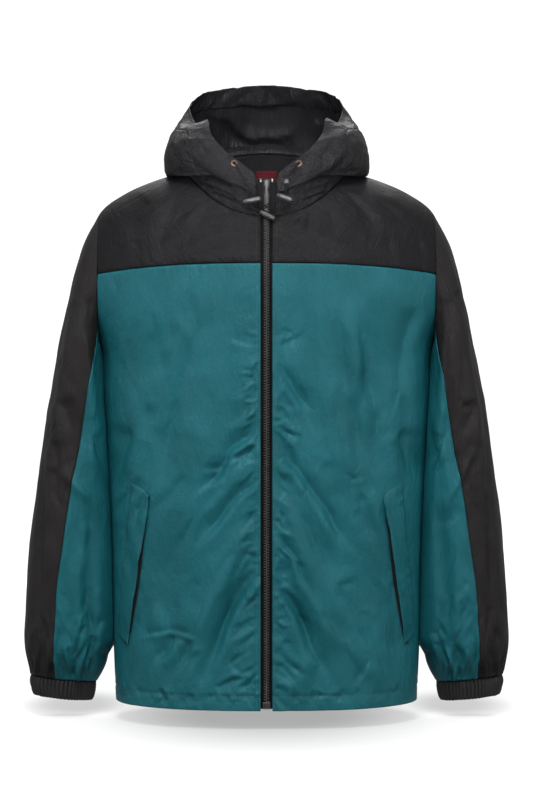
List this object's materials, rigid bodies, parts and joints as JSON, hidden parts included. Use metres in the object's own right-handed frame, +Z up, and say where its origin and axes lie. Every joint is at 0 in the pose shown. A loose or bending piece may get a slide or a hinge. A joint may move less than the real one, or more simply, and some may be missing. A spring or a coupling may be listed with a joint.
{
  "type": "hooded zip windbreaker jacket",
  "caption": "Hooded zip windbreaker filled out as if worn, with yoke, slanted pockets, elastic cuffs and a hood drawcord with toggles.",
  "frame": {"origin": "middle of the neck's base, where the wearer's neck and shoulders hold the jacket", "axes": "+Z up, the front with its zip faces -Y, +X is the wearer's left"},
  "size_m": [0.6688, 0.3333, 0.8618],
  "materials": {
    "teal_cloth": "smooth woven nylon with a soft sheen",
    "black_cloth": "smooth woven nylon with a soft sheen",
    "cuff_elastic": "gathered matt nylon over elastic",
    "zip_tape": "matt woven tape",
    "zip_plastic": "satin moulded plastic",
    "zip_metal": "satin",
    "eyelet_metal": "dark copper",
    "toggle_plastic": "satin",
    "drawcord": "braided",
    "label_tape": "plain woven tape"
  },
  "bodies": {
    "garment": {"back": "teal_cloth", "back_yoke": "black_cloth", "cord_bead": "zip_metal", "cord_left_lower": "drawcord", "cord_left_middle": "drawcord", "cord_left_upper": "drawcord", "cord_right_lower": "drawcord", "cord_right_upper": "drawcord", "cuff_left": "cuff_elastic", "cuff_right": "cuff_elastic", "eyelet_left": "eyelet_metal", "eyelet_right": "eyelet_metal", "front_left": "teal_cloth", "front_right": "teal_cloth", "front_yoke_left": "black_cloth", "front_yoke_right": "black_cloth", "hood_left": "black_cloth", "hood_right": "black_cloth", "neck_label": "label_tape", "pocket_welt_left": "teal_cloth", "pocket_welt_right": "teal_cloth", "sleeve_top_left": "black_cloth", "sleeve_top_right": "black_cloth", "sleeve_under_left": "teal_cloth", "sleeve_under_right": "teal_cloth", "toggle_end": "toggle_plastic", "toggle_left": "toggle_plastic", "toggle_right": "toggle_plastic", "zip_box": "zip_plastic", "zip_chain": "zip_plastic", "zip_slider": "zip_plastic", "zip_stop_left": "zip_metal", "zip_stop_right": "zip_metal", "zip_tape_left": "zip_tape", "zip_tape_right": "zip_tape"},
    "zip_pull": {"zip_pull": "zip_plastic"}
  },
  "joints": [
    {"name": "zip_pull_swing", "type": "hinge", "parent": "garment", "child": "zip_pull", "pos_m": [0, -0.1237, -0.0225], "axis": [-1, 0, 0], "range_deg": [0, 150]}
  ]
}
